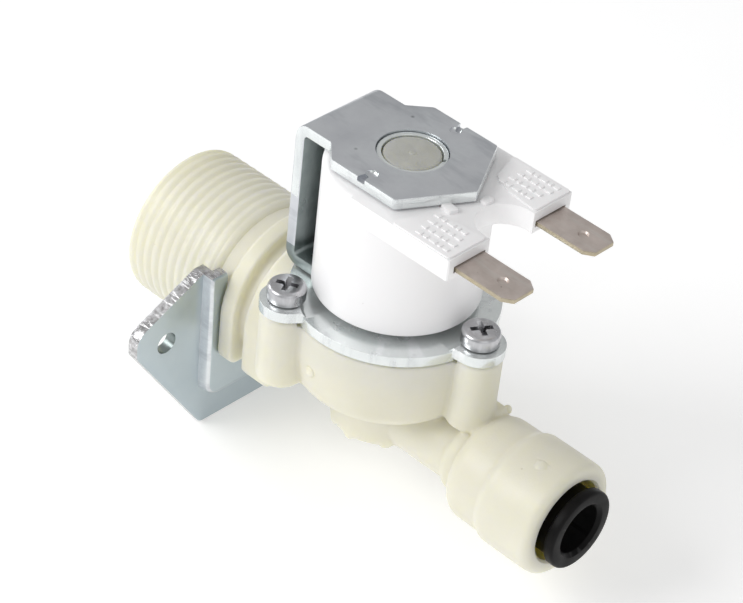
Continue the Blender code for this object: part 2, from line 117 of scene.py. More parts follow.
# a tiny ring collapsed to one point, then extruded from point to point; left in edit mode
def drawLine(name, points):
    deselect()
    bpy.ops.mesh.primitive_circle_add(vertices=3, radius=mm, location=points[0])
    piece = bpy.context.object
    piece.name = name
    bpy.ops.object.transform_apply()
    openMesh(piece)
    bpy.ops.mesh.merge(type="CENTER")
    for before, after in zip(points, points[1:]):
        bpy.ops.mesh.extrude_vertices_move(TRANSFORM_OT_translate={"value": after - before})
    return piece


# a profile of (along, radius, rounding) spun about an axis through centre
def turned(name, profile, axis="Z", centre=(0, 0, 0), sides=96, steps=4):
    solidEnds = profile[0][1] == 0 and profile[-1][1] == 0
    line = softCorners(profile, not solidEnds, steps)
    if not solidEnds:
        line.append(line[0])
    middle = Vector(centre) * mm
    if axis == "Z":
        points = [middle + Vector((p[1], 0, p[0])) * mm for p in line]
    else:
        points = [middle + Vector((p[0], 0, p[1])) * mm for p in line]
    piece = drawLine(name, points)
    bpy.ops.mesh.select_all(action="SELECT")
    bpy.ops.mesh.spin(steps=sides, angle=2 * math.pi, center=middle,
                      axis=(0, 0, 1) if axis == "Z" else (1, 0, 0))
    return closeMesh(piece)


# an outline filled and extruded from low to high along an axis
def slab(name, outline, low, high, direction="Z"):
    def lay(u, v, w):
        return Vector({"Z": (u, v, w), "X": (w, u, v), "Y": (u, w, v)}[direction]) * mm
    points = [lay(p[0], p[1], low) for p in outline]
    piece = drawLine(name, points + points[:1])
    bpy.ops.mesh.select_all(action="SELECT")
    bpy.ops.mesh.remove_doubles(threshold=0.000002)
    bpy.ops.mesh.edge_face_add()
    bpy.ops.mesh.extrude_region_move(TRANSFORM_OT_translate={"value": lay(0, 0, high - low)})
    return closeMesh(piece)


# plain rods and bricks only cut or join other pieces
def rod(radius, low, high, axis="Z", centre=(0, 0, 0), sides=64):
    along = Vector((0, 0, 1)) if axis == "Z" else Vector((1, 0, 0))
    deselect()
    bpy.ops.mesh.primitive_cylinder_add(
        vertices=sides, radius=radius * mm, depth=(high - low) * mm,
        location=(Vector(centre) + along * (low + high) / 2) * mm,
        rotation=(0, 0, 0) if axis == "Z" else (0, math.pi / 2, 0))
    bpy.ops.object.transform_apply()
    return bpy.context.object


def brick(low, high):
    low, high = Vector(low), Vector(high)
    deselect()
    bpy.ops.mesh.primitive_cube_add(size=mm, location=(low + high) / 2 * mm, scale=high - low)
    bpy.ops.object.transform_apply()
    return bpy.context.object


# turns a piece's mesh about an upright line, in degrees
def turnAbout(piece, degrees, centre=(0, 0, 0)):
    spot = Matrix.Translation(Vector(centre) * mm)
    choose(piece)
    piece.matrix_world = spot @ Matrix.Rotation(math.radians(degrees), 4, "Z") @ spot.inverted()
    bpy.ops.object.transform_apply()
    return piece


# tips a tool about X, in degrees, then moves it to a spot
def tipTo(piece, degrees, spot=(0, 0, 0)):
    choose(piece)
    piece.rotation_euler = (math.radians(degrees), 0, 0)
    piece.location = Vector(spot) * mm
    bpy.ops.object.transform_apply()
    return piece


def joined(*pieces):
    deselect()
    for piece in pieces:
        piece.select_set(True)
    bpy.context.view_layer.objects.active = pieces[0]
    bpy.ops.object.join()
    return pieces[0]


def modify(piece, kind, **values):
    choose(piece)
    modifier = piece.modifiers.new(kind.title(), kind)
    for name, value in values.items():
        setattr(modifier, name, value)
    bpy.ops.object.modifier_apply(modifier=modifier.name)
    return piece


def combine(piece, how, *tools, solver="EXACT"):
    for tool in tools:
        modify(piece, "BOOLEAN", operation=how, object=tool, solver=solver)
        bpy.data.objects.remove(tool, do_unlink=True)
    return piece


def roundEdges(piece, width, segments=3, angle=30):
    return modify(piece, "BEVEL", width=width * mm, segments=segments, limit_method="ANGLE",
                  angle_limit=math.radians(angle), use_clamp_overlap=True, miter_outer="MITER_ARC")


def duplicateOf(piece, name):
    choose(piece)
    bpy.ops.object.duplicate(linked=False)
    bpy.context.object.name = name
    return bpy.context.object


def giveSlots(piece, count):
    while len(piece.data.materials) < count:
        piece.data.materials.append(None)


# puts a finished piece in its place, with its finish, its CAD nodes and its body
def fit(piece, kinds, nodes, smooth=35, body="valve"):
    choose(piece)
    piece.location = valveOrigin
    bpy.ops.object.transform_apply()
    bpy.ops.object.shade_smooth_by_angle(angle=math.radians(smooth))
    giveSlots(piece, len(kinds))
    for i, kind in enumerate(kinds):
        piece.data.materials[i] = finish[kind]
    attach(piece, body)
    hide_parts(*nodes)


# gives the faces that pass a test the material at an index
def paintFaces(piece, index, test):
    giveSlots(piece, index + 1)
    for face in piece.data.polygons:
        if test(face.center / mm, face.normal):
            face.material_index = index


# a node group that takes a Vector and the inputs named
def startGroup(name, inputs, outputs):
    group = bpy.data.node_groups.new(name, "ShaderNodeTree")
    for label, kind in {"Vector": "Vector", **inputs}.items():
        group.interface.new_socket(label, in_out="INPUT", socket_type="NodeSocket" + kind)
    for label, kind in outputs.items():
        group.interface.new_socket(label, in_out="OUTPUT", socket_type="NodeSocket" + kind)
    return group, group.nodes.new("NodeGroupInput"), group.nodes.new("NodeGroupOutput")


def addNode(tree, kind, **values):
    node = tree.nodes.new("ShaderNode" + kind)
    for name, value in values.items():
        setattr(node, name, value)
    return node


def noise(tree, vector, scale, detail, roughness):
    node = addNode(tree, "TexNoise")
    node.inputs["Detail"].default_value = detail
    node.inputs["Roughness"].default_value = roughness
    tree.links.new(vector, node.inputs["Vector"])
    tree.links.new(scale, node.inputs["Scale"])
    return node.outputs["Fac"]


def remap(tree, value, low, high, outLow=0.0, outHigh=1.0):
    node = addNode(tree, "MapRange", clamp=True)
    for key, number in zip(("From Min", "From Max", "To Min", "To Max"),
                           (low, high, outLow, outHigh)):
        if isinstance(number, (int, float)):
            node.inputs[key].default_value = number
        else:
            tree.links.new(number, node.inputs[key])
    tree.links.new(value, node.inputs["Value"])
    return node.outputs["Result"]


def maths(tree, how, first, second):
    node = addNode(tree, "Math", operation=how)
    for socket, value in zip(node.inputs, (first, second)):
        if isinstance(value, (int, float)):
            socket.default_value = value
        else:
            tree.links.new(value, socket)
    return node.outputs["Value"]


# slow colour change between two tints
def makeCloudTint():
    group, enter, leave = startGroup(
        "cloudTint", {"Pale": "Color", "Deep": "Color", "Scale": "Float", "Contrast": "Float"},
        {"Color": "Color"})
    fac = noise(group, enter.outputs["Vector"], enter.outputs["Scale"], 4.0, 0.6)
    spread = remap(group, fac, 0.3, 0.7)
    mask = maths(group, "MULTIPLY", spread, enter.outputs["Contrast"])
    mix = addNode(group, "Mix", data_type="RGBA")
    group.links.new(mask, mix.inputs["Factor"])
    group.links.new(enter.outputs["Pale"], mix.inputs["A"])
    group.links.new(enter.outputs["Deep"], mix.inputs["B"])
    group.links.new(mix.outputs["Result"], leave.inputs["Color"])
    return group


# corners tinted lighter, and grooves filled with painted shade, from how far an edge stands out
def makeEdgeMask():
    group, enter, leave = startGroup(
        "edgeMask", {"Low": "Float", "High": "Float", "Breakup": "Float", "Scale": "Float"},
        {"Mask": "Float"})
    shape = addNode(group, "NewGeometry").outputs["Pointiness"]
    edge = remap(group, shape, enter.outputs["Low"], enter.outputs["High"])
    patches = noise(group, enter.outputs["Vector"], enter.outputs["Scale"], 3.0, 0.6)
    patches = remap(group, patches, 0.35, 0.6)
    kept = maths(group, "SUBTRACT", 1.0, enter.outputs["Breakup"])
    patches = maths(group, "ADD", maths(group, "MULTIPLY", patches, enter.outputs["Breakup"]), kept)
    group.links.new(maths(group, "MULTIPLY", edge, patches), leave.inputs["Mask"])
    return group


# fine even grain for bump and gloss
def makeFineGrain():
    group, enter, leave = startGroup("fineGrain", {"Scale": "Float", "Waviness": "Float"},
                                     {"Height": "Float", "Mask": "Float"})
    fine = noise(group, enter.outputs["Vector"], enter.outputs["Scale"], 2.0, 0.6)
    coarse = noise(group, enter.outputs["Vector"],
                   maths(group, "MULTIPLY", enter.outputs["Scale"], 0.08), 2.0, 0.5)
    slow = maths(group, "MULTIPLY", coarse, enter.outputs["Waviness"])
    group.links.new(maths(group, "ADD", fine, slow), leave.inputs["Height"])
    group.links.new(remap(group, coarse, 0.3, 0.7), leave.inputs["Mask"])
    return group


# thin scratches and rolling lines drawn out along one direction
def makeScratches():
    group, enter, leave = startGroup(
        "scratches", {"Scale": "Float", "Stretch": "Vector", "Amount": "Float"},
        {"Mask": "Float"})
    stretch = addNode(group, "VectorMath", operation="MULTIPLY")
    group.links.new(enter.outputs["Vector"], stretch.inputs[0])
    group.links.new(enter.outputs["Stretch"], stretch.inputs[1])
    lines = noise(group, stretch.outputs["Vector"], enter.outputs["Scale"], 3.0, 0.65)
    lines = remap(group, lines, 0.53, 0.66)
    group.links.new(maths(group, "MULTIPLY", lines, enter.outputs["Amount"]), leave.inputs["Mask"])
    return group


# small dark specks and pits, far apart
def makeSpecks():
    group, enter, leave = startGroup(
        "specks", {"Scale": "Float", "Size": "Float", "Rarity": "Float"}, {"Mask": "Float"})
    cells = addNode(group, "TexVoronoi", feature="F1")
    group.links.new(enter.outputs["Vector"], cells.inputs["Vector"])
    group.links.new(enter.outputs["Scale"], cells.inputs["Scale"])
    dots = remap(group, cells.outputs["Distance"], enter.outputs["Size"], 0.0)
    split = addNode(group, "SeparateColor")
    group.links.new(cells.outputs["Color"], split.inputs["Color"])
    chosen = maths(group, "GREATER_THAN", split.outputs["Red"], enter.outputs["Rarity"])
    group.links.new(maths(group, "MULTIPLY", dots, chosen), leave.inputs["Mask"])
    return group


groups = {"cloudTint": makeCloudTint(), "edgeMask": makeEdgeMask(), "fineGrain": makeFineGrain(),
          "scratches": makeScratches(), "specks": makeSpecks()}
print("shader groups made")


# where grooves start to fill with painted shade and edges to turn lighter, how deep a scratch cuts,
# and the grain and bump of a finish that names none
maskSizes = {"grooveShadeStart": 0.495, "grooveShadeBreakup": 0.2, "grooveShadeScale": 300.0,
             "edgeStart": 0.52, "edgeFull": 0.60, "edgeScale": 900.0, "scratchDepth": 1.5,
             "plainGrain": (3000.0, 0.4), "plainBump": (0.15, 0.05)}


def colourOf(rgb):
    return (*rgb, 1.0)


# one finish: two tints, grooves with painted shade, lighter edges, specks, scratches and grain
def makeFinish(name, looks):
    material = bpy.data.materials.new(name)
    material.use_nodes = True
    tree = material.node_tree
    shader = tree.nodes["Principled BSDF"]
    place = addNode(tree, "TexCoord").outputs["Object"]

    def use(kind, **values):
        node = addNode(tree, "Group", node_tree=groups[kind])
        tree.links.new(place, node.inputs["Vector"])
        for label, value in values.items():
            node.inputs[label].default_value = value
        return node

    def over(under, mask, rgb):
        mix = addNode(tree, "Mix", data_type="RGBA")
        tree.links.new(mask, mix.inputs["Factor"])
        tree.links.new(under, mix.inputs["A"])
        mix.inputs["B"].default_value = colourOf(rgb)
        return mix.outputs["Result"]

    pale, deep, scale, contrast = looks["cloud"]
    colour = use("cloudTint", Pale=colourOf(pale), Deep=colourOf(deep), Scale=scale,
                 Contrast=contrast).outputs["Color"]
    scale, waviness = looks.get("grain", maskSizes["plainGrain"])
    grain = use("fineGrain", Scale=scale, Waviness=waviness)
    height, gloss = grain.outputs["Height"], grain.outputs["Mask"]
    # grooves take a tint of painted shade
    if "groove" in looks:
        rgb, reach = looks["groove"]
        mask = use("edgeMask", Low=maskSizes["grooveShadeStart"], High=reach,
                   Breakup=maskSizes["grooveShadeBreakup"], Scale=maskSizes["grooveShadeScale"])
        colour = over(colour, mask.outputs["Mask"], rgb)
    if "edge" in looks:
        rgb, breakup = looks["edge"]
        mask = use("edgeMask", Low=maskSizes["edgeStart"], High=maskSizes["edgeFull"],
                   Breakup=breakup, Scale=maskSizes["edgeScale"])
        colour = over(colour, mask.outputs["Mask"], rgb)
    if "speck" in looks:
        rgb, scale, size, rarity = looks["speck"]
        mask = use("specks", Scale=scale, Size=size, Rarity=rarity)
        colour = over(colour, mask.outputs["Mask"], rgb)
    if "scratch" in looks:
        rgb, scale, stretch, amount = looks["scratch"]
        lines = use("scratches", Scale=scale, Stretch=stretch, Amount=amount).outputs["Mask"]
        colour = over(colour, lines, rgb)
        cut = maths(tree, "MULTIPLY", lines, maskSizes["scratchDepth"])
        height = maths(tree, "SUBTRACT", height, cut)
        gloss = maths(tree, "ADD", gloss, lines)
    tree.links.new(colour, shader.inputs["Base Color"])
    tree.links.new(remap(tree, gloss, 0.0, 1.0, *looks["roughness"]), shader.inputs["Roughness"])
    bump = addNode(tree, "Bump")
    strength, depth = looks.get("bump", maskSizes["plainBump"])
    bump.inputs["Strength"].default_value = strength
    bump.inputs["Distance"].default_value = depth * mm
    tree.links.new(height, bump.inputs["Height"])
    tree.links.new(bump.outputs["Normal"], shader.inputs["Normal"])
    shader.inputs["Metallic"].default_value = looks.get("metallic", 0.0)
    for label, value in looks.get("set", {}).items():
        shader.inputs[label].default_value = value
    return material


softPlastic = {"Subsurface Weight": 0.6, "Subsurface Radius": (1.0, 0.95, 0.5),
               "Subsurface Scale": 0.004}
# cloud: pale tint, deep tint, scale, contrast      groove: painted shade tint, reach      edge: tint, breakup
# speck: tint, scale, size, rarity      scratch: tint, scale, stretch, amount
# grain: scale, waviness      bump: strength, depth in mm      roughness: least, most
finishes = {
    "nylon": {
        "cloud": ((0.79, 0.765, 0.65), (0.72, 0.695, 0.555), 90, 0.6),
        # the olive groove tint is painted shade in the grooves and thread roots
        "groove": ((0.66, 0.62, 0.38), 0.36), "speck": ((0.55, 0.5, 0.36), 260, 0.06, 0.88),
        "grain": (2200, 1.2), "bump": (0.25, 0.06), "roughness": (0.34, 0.48),
        "set": softPlastic},
    "greyNylon": {
        "cloud": ((0.5, 0.5, 0.46), (0.4, 0.4, 0.36), 400, 0.6),
        "speck": ((0.25, 0.24, 0.2), 900, 0.08, 0.85), "roughness": (0.25, 0.4),
        "set": softPlastic},
    "insert": {
        "cloud": ((0.86, 0.86, 0.83), (0.78, 0.78, 0.74), 150, 0.6), "roughness": (0.35, 0.5)},
    "coilPlastic": {
        "cloud": ((0.945, 0.935, 0.94), (0.93, 0.915, 0.925), 60, 0.1),
        "speck": ((0.66, 0.62, 0.6), 300, 0.045, 0.92), "grain": (2600, 0.1),
        "bump": (0.08, 0.04), "roughness": (0.28, 0.32),
        "set": {"Subsurface Weight": 0.15, "Subsurface Radius": (1, 0.9, 0.9),
                "Subsurface Scale": 0.001}},
    "blackPlastic": {
        "cloud": ((0.003, 0.003, 0.003), (0.006, 0.005, 0.005), 150, 0.6),
        "edge": ((0.03, 0.03, 0.03), 0.5), "speck": ((0.25, 0.25, 0.25), 420, 0.05, 0.88),
        "grain": (3800, 0.4), "bump": (0.2, 0.05), "roughness": (0.3, 0.48),
        "set": {"Specular IOR Level": 0.1}},
    "zinc": {
        "cloud": ((0.7, 0.715, 0.74), (0.55, 0.565, 0.6), 130, 0.8),
        "edge": ((0.74, 0.77, 0.79), 0.5), "speck": ((0.2, 0.21, 0.22), 330, 0.13, 0.66),
        "scratch": ((0.4, 0.42, 0.45), 260, (0.3, 1, 1.3), 0.35), "grain": (1500, 1),
        "bump": (0.08, 0.03), "roughness": (0.3, 0.42), "metallic": 1},
    "bracket": {
        "cloud": ((0.51, 0.575, 0.61), (0.43, 0.505, 0.555), 130, 0.5),
        "speck": ((0.25, 0.27, 0.28), 300, 0.05, 0.88),
        "scratch": ((0.46, 0.52, 0.56), 300, (1, 1, 0.3), 0.12), "grain": (1900, 0.15),
        "bump": (0.05, 0.02), "roughness": (0.34, 0.4), "metallic": 0.95},
    "shearedEdge": {
        "cloud": ((0.74, 0.74, 0.75), (0.26, 0.25, 0.25), 1300, 0.9),
        "scratch": ((0.95, 0.95, 0.95), 2000, (0.2, 1, 1), 0.8), "grain": (1800, 0.4),
        "bump": (0.5, 0.08), "roughness": (0.2, 0.42), "metallic": 1},
    # zinc darkened with painted shade, for creases, hole walls and the yoke's shaded faces
    "shadedZinc": {
        "cloud": ((0.34, 0.38, 0.375), (0.22, 0.26, 0.255), 160, 0.9),
        "speck": ((0.05, 0.06, 0.06), 320, 0.08, 0.8),
        "scratch": ((0.42, 0.46, 0.46), 420, (1, 1, 0.25), 0.4), "bump": (0.1, 0.05),
        "roughness": (0.26, 0.4), "metallic": 1},
    "brightZinc": {
        "cloud": ((0.8, 0.83, 0.825), (0.69, 0.735, 0.73), 140, 0.6),
        "edge": ((0.9, 0.92, 0.93), 0.5), "speck": ((0.3, 0.3, 0.3), 420, 0.06, 0.88),
        "scratch": ((0.52, 0.54, 0.56), 500, (1, 1, 0.15), 0.35), "grain": (2200, 0.4),
        "bump": (0.08, 0.03), "roughness": (0.18, 0.28), "metallic": 0.75},
    "screw": {
        "cloud": ((0.54, 0.54, 0.55), (0.39, 0.39, 0.405), 300, 0.6),
        "edge": ((0.86, 0.87, 0.9), 0.6), "speck": ((0.25, 0.25, 0.27), 900, 0.08, 0.8),
        "scratch": ((0.7, 0.7, 0.72), 700, (1, 1, 0.2), 0.5), "bump": (0.14, 0.03),
        "roughness": (0.24, 0.36), "metallic": 1},
    "steel": {
        "cloud": ((0.6, 0.6, 0.61), (0.48, 0.48, 0.5), 150, 0.6),
        "scratch": ((0.75, 0.75, 0.75), 600, (1, 1, 0.1), 0.3), "roughness": (0.2, 0.35),
        "metallic": 1},
    "tinnedBlade": {
        "cloud": ((0.7, 0.62, 0.575), (0.54, 0.47, 0.425), 330, 0.9),
        "speck": ((0.2, 0.17, 0.14), 700, 0.12, 0.7),
        "scratch": ((0.66, 0.62, 0.58), 500, (0.12, 1.6, 1), 0.6), "grain": (2600, 0.4),
        "bump": (0.3, 0.04), "roughness": (0.34, 0.55), "metallic": 0.9},
    "bareBrass": {
        "cloud": ((0.52, 0.46, 0.34), (0.36, 0.31, 0.23), 700, 0.6),
        "scratch": ((0.8, 0.66, 0.4), 600, (0.3, 1, 1), 0.3), "bump": (0.4, 0.05),
        "roughness": (0.3, 0.45), "metallic": 1},
    "winding": {
        "cloud": ((0.62, 0.24, 0.08), (0.42, 0.13, 0.04), 150, 0.6),
        "scratch": ((0.8, 0.45, 0.2), 900, (0.1, 0.1, 2), 0.3), "bump": (0.5, 0.05),
        "roughness": (0.2, 0.35), "metallic": 1},
    "rubber": {
        "cloud": ((0.02, 0.02, 0.02), (0.035, 0.034, 0.032), 150, 0.6), "grain": (4200, 0.4),
        "bump": (0.3, 0.05), "roughness": (0.55, 0.75)},
    "filter": {
        "cloud": ((0.05, 0.14, 0.42), (0.04, 0.1, 0.32), 150, 0.6), "bump": (0.2, 0.05),
        "roughness": (0.35, 0.5), "set": {"Subsurface Weight": 0.1, "Subsurface Scale": 0.001}},
}
finish = {kind: makeFinish(kind + "Finish", looks) for kind, looks in finishes.items()}
print("finishes made:", len(finish))


bodySizes = {"neckRadius": 11.6, "neckEnd": -17.2, "collar": (-24.3, -21.3),
             "block": (-18.9, -13.5), "collarHalf": 13.5, "collarFoot": -8.7,
             "saddleRadius": 12.35, "saddleFoot": 4.3, "cupRadius": 16.4, "cupTop": 11.1,
             "bossCircle": 17.47, "bossRadius": 3.9, "bossTop": 11.8, "outletAxis": -7.54,
             "outletRadius": 9.72, "outletEnd": 38.9, "ribAngles": (30, 62, 94, 140, 190, 330),
             "voxel": 0.34, "keepFaces": 0.62}
threadSizes = {"rim": -46.2, "end": -27.0, "pitch": 1.814, "crest": 13.2, "root": 12.99,
               "bore": 10.5, "boreEnd": -28.6, "turns": 14}
screwAngles = (-120, 0, 120)


def onCircle(radius, degrees):
    return radius * math.cos(math.radians(degrees)), radius * math.sin(math.radians(degrees))


# round over the top, straight sides, a flat foot
def collarOutline():
    half, foot = bodySizes["collarHalf"], bodySizes["collarFoot"]
    lower = softCorners([(-half, 0), (-half, foot, 2.0), (half, foot, 2.0), (half, 0)])
    return lower + [Vector(p) for p in arcPoints(0, 0, half, 0, 180, 32)[1:-1]]


def makeThreadedInlet():
    s = threadSizes
    pitch, root, crest = s["pitch"], s["root"], s["crest"]
    start = s["rim"] - 1.37 * pitch
    ridge = [(k / 10, root + (crest - root) * math.sin(math.pi * k / 10) ** 1.4)
             for k in range(11)]
    points = [Vector((start + u * pitch, 0, r)) * mm for u, r in ridge]
    inlet = drawLine("threadedInlet", points)
    bpy.ops.object.mode_set(mode="OBJECT")
    modify(inlet, "SCREW", axis="X", steps=96, render_steps=96, iterations=s["turns"],
           screw_offset=pitch * mm, angle=2 * math.pi, use_merge_vertices=True,
           merge_threshold=0.000005)
    openMesh(inlet)
    bpy.ops.mesh.remove_doubles(threshold=0.00002)
    for spot, side in ((s["rim"], {"clear_inner": True}), (s["end"], {"clear_outer": True})):
        bpy.ops.mesh.select_all(action="SELECT")
        bpy.ops.mesh.bisect(plane_co=(spot * mm, 0, 0), plane_no=(1, 0, 0), threshold=1e-7, **side)
        pickVertices(inlet, lambda v: abs(v.x - spot) < 0.001)
        bpy.ops.mesh.edge_face_add()
    closeMesh(inlet)
    envelope = turned("inletEnvelope", [
        (s["rim"], 0), (s["rim"], crest - 0.1, 0.35), (s["rim"] + 1.6, crest + 0.1),
        (s["end"] - 2.4, crest + 0.1), (s["end"] - 0.4, 12.7, 1.5), (s["end"], 12.0),
        (s["end"], 0)], "X", sides=120)
    return combine(inlet, "INTERSECT", envelope, solver="MANIFOLD")


# low domes left by ejector pins and gates
def dome(spot, radius, height, towards):
    deselect()
    bpy.ops.mesh.primitive_uv_sphere_add(segments=24, ring_count=12, radius=radius * mm,
                                         location=Vector(spot) * mm)
    piece = bpy.context.object
    piece.rotation_euler = Vector(towards).to_track_quat("Z", "Y").to_euler()
    piece.scale = (1, 1, height / radius)
    bpy.ops.object.transform_apply()
    return piece


def makeValveBody():
    s, t = bodySizes, threadSizes
    axis = (0, 0, s["outletAxis"])
    body = rod(s["neckRadius"], t["end"] - 1.2, s["neckEnd"], "X")
    body.name = "valveBody"
    saddle = rod(s["saddleRadius"], t["end"] - 1.0, s["collar"][0] + 0.5, "X")
    combine(saddle, "DIFFERENCE", brick((-30, -15, -15), (-20, 15, s["saddleFoot"])))
    collar = slab("collar", collarOutline(), *s["collar"], "X")
    block = slab("block", collarOutline(), *s["block"], "X")
    cup = turned("cup", [(-11.8, 0), (-11.8, 8.3, 1.1), (-2.3, 8.3, 0.5), (-2.3, 13.9, 1.6),
                         (-0.2, 15.45), (3, 16.1), (6, s["cupRadius"]),
                         (s["cupTop"], s["cupRadius"], 0.3), (s["cupTop"], 0)])
    bosses = []
    for degrees in screwAngles:
        x, y = onCircle(s["bossCircle"], degrees)
        bosses.append(turned("boss", [(-1.4, 0), (-1.4, s["bossRadius"], 1.2),
                                      (s["bossTop"], s["bossRadius"], 0.3), (s["bossTop"], 0)],
                             centre=(x, y, 0), sides=48))
    shoulder = arcPoints(23.4, 6.15, 2.9, 180, 90, 8)
    outlet = turned("outlet", [(2, 0), (2, 5.53), (17.4, 5.53, 0.6), (18.4, 6.4, 0.4)]
                    + [(20.3, 6.4)] + [(x, r) for x, r in shoulder[1:]]
                    + [(27.8, 9.05, 0.4), (28.9, s["outletRadius"], 0.4),
                       (s["outletEnd"], s["outletRadius"], 1.2), (s["outletEnd"], 0)],
                    "X", axis)
    web = brick((13.6, 1.6, -6.5), (21.5, 4.4, 1.4))
    spine = brick((15.0, -1.2, -4.5), (21.5, 1.2, -0.6))
    ribs = [slab("wellRib", [(-8.35, -0.7), (-7.2, -0.9), (-7.2, 0.9), (-8.35, 0.7)],
                 -12.0, -3.0) for _ in s["ribAngles"]]
    for rib, degrees in zip(ribs, s["ribAngles"]):
        turnAbout(rib, degrees)
    bumps = [dome((-1.52, -16.13, 4.47), 0.95, 0.5, (-0.1, -1, 0)),
             dome((21.0, 4.8, 0.35), 0.7, 0.8, (0, 0, 1)),
             dome((33.95, -2.35, 1.72), 1.0, 0.35, (0, -0.25, 1))]
    combine(body, "UNION", saddle, collar, block, cup, *bosses, outlet, web, spine, *ribs)
    modify(body, "REMESH", mode="VOXEL", voxel_size=s["voxel"] * mm)
    modify(body, "SMOOTH", factor=0.5, iterations=8)
    modify(body, "DECIMATE", ratio=s["keepFaces"])
    inlet = makeThreadedInlet()
    combine(body, "UNION", inlet, *bumps, solver="MANIFOLD")
    print("body blank:", len(body.data.polygons), "faces")

    top = s["cupTop"]
    relief = turned("plateRelief", [(top - 0.15, 0), (top - 0.15, 17.0), (top + 6, 17.0),
                                    (top + 6, 0)])
    arm = brick((-17.0, -9, 12.9), (0, 9, 20))
    bore = turned("inletBore", [
        (t["rim"] - 1, 0), (t["rim"] - 1, t["bore"] + 0.5), (t["rim"], t["bore"] + 0.5),
        (t["rim"] + 0.5, t["bore"]), (t["boreEnd"], t["bore"]), (t["boreEnd"], 6.2), (-18.6, 6.2),
        (-18.6, 0)], "X")
    feed = rod(2.9, -20, -11.4, "X", (0, 0, 3.4), 32)
    chamber = turned("chamber", [(top + 1, 0), (top + 1, 15.0), (6.6, 15.0), (6.6, 12.2),
                                 (0.2, 12.2, 1.0), (0.2, 5.4, 0.4), (4.6, 5.4, 0.3), (4.6, 0)])
    seat = rod(4.0, -9.8, 5.6)
    socket = turned("socket", [(1, 0), (1, 2.8), (20.8, 2.8), (20.8, 4.2), (25.8, 4.2),
                               (25.8, 6.1), (31, 6.1), (31, 7.0), (38.5, 7.0),
                               (s["outletEnd"], 7.4), (40, 7.4), (40, 0)], "X", axis)
    pilots = [rod(2.1, 1.5, 14, "Z", (*onCircle(s["bossCircle"], a), 0), 24) for a in screwAngles]
    combine(body, "DIFFERENCE", relief, arm, bore, feed, chamber, seat, socket, *pilots,
            solver="MANIFOLD")
    fit(body, ["nylon"], ["valve_body"], 42)


makeValveBody()
print("moulded body made")


filterSizes = {"wide": 8.5, "narrow": 5.9, "front": -40.2, "back": -32.1, "strand": 0.16,
               "rows": 15, "columns": 44}


def makeInletParts():
    s = filterSizes
    net = [(s["front"] + (s["back"] - s["front"]) * k / s["rows"],
            s["narrow"] + (s["wide"] - s["narrow"]) * k / s["rows"]) for k in range(s["rows"] + 1)]
    mesh = drawLine("inletFilter", [Vector((x, 0, r)) * mm for x, r in net])
    bpy.ops.mesh.select_all(action="SELECT")
    bpy.ops.mesh.spin(steps=s["columns"], angle=2 * math.pi, center=(0, 0, 0), axis=(1, 0, 0))
    closeMesh(mesh)
    modify(mesh, "WIREFRAME", thickness=s["strand"] * mm, use_even_offset=False)
    rim = turned("filterRim", [(-32.4, 8.1, 0.2), (-32.1, 10.1, 0.3), (-30.9, 10.1, 0.3),
                               (-30.9, 7.8, 0.2), (-32.0, 7.8, 0.2)], "X")
    cap = turned("filterCap", [(-41.8, 0), (-41.8, 1.4, 0.4), (-40.4, 1.4, 0.3),
                               (-40.4, 6.1, 0.3), (-39.6, 6.1, 0.2), (-39.6, 0)], "X")
    ribs = []
    for i in range(4):
        rib = slab("filterRib", [(-40.0, 5.3), (-40.0, 6.25), (-31.6, 8.95), (-31.6, 8.0)],
                   -0.45, 0.45, "Y")
        ribs.append(roundEdges(tipTo(rib, 45 + 90 * i), 0.12, 2))
    fit(joined(mesh, rim, cap, *ribs), ["filter"], ["inlet_filter"])
    ring = turned("flowRing", [(-30.5, 10.1, 0.2), (-30.5, 3.4, 0.4), (-29.6, 2.6, 0.2),
                               (-28.95, 2.6, 0.2), (-28.95, 10.1, 0.2)], "X")
    fit(ring, ["rubber"], ["flow_regulator"])


makeInletParts()
print("inlet parts made")


bracketSizes = {"back": -28.6, "face": -26.6, "raised": -24.4, "top": 7.7, "foot": -23.3,
                "raisedHalf": 15.2, "raisedFoot": -17.2, "wall": 1.7, "draft": 0.965,
                "corner": 2.8, "pressRadius": 0.6, "mouth": 12.0, "hole": (22.4, -2.5, 1.9),
                "pressedHalf": 15.9, "pressedFoot": -18.2, "pressedTop": 7.2}


